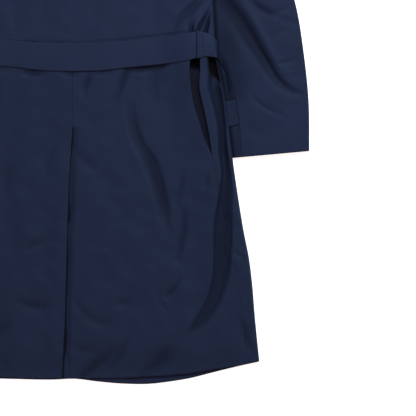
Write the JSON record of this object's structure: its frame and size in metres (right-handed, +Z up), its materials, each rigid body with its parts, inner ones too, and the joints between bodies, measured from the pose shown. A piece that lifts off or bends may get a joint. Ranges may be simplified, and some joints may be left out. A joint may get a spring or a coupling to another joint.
{
  "type": "trench coat",
  "caption": "Belted knee-length coat laid flat on its front: back, side-seam pockets, centre-back vent and three-quarter sleeves on view.",
  "frame": {"origin": "middle of the bounding box, on the surface that the coat lies on", "axes": "+X towards the coat's right side as seen from above its back, +Y towards the neck, +Z up, out of the back"},
  "size_m": [0.8292, 0.9792, 0.0292],
  "materials": {
    "cloth": "navy cotton gabardine, faint diagonal twill, soft matt sheen",
    "belt": "navy cotton gabardine, doubled and pressed",
    "inside": "navy twill, in shade",
    "buckle": "dark moulded slide buckle"
  },
  "bodies": {
    "root": {"back_bodice": "cloth", "back_skirt_left": "cloth", "back_skirt_right": "cloth", "front_left": "cloth", "front_right": "cloth", "sleeve_top_left": "cloth", "sleeve_top_right": "cloth", "sleeve_under_left": "cloth", "sleeve_under_right": "cloth", "sleeve_strap_left": "cloth", "sleeve_strap_right": "cloth", "collar": "cloth", "belt_loop_left": "cloth", "belt_loop_right": "cloth", "belt": "belt", "pocket_facing_left": "inside", "pocket_facing_right": "inside", "buckle": "buckle"}
  },
  "joints": []
}
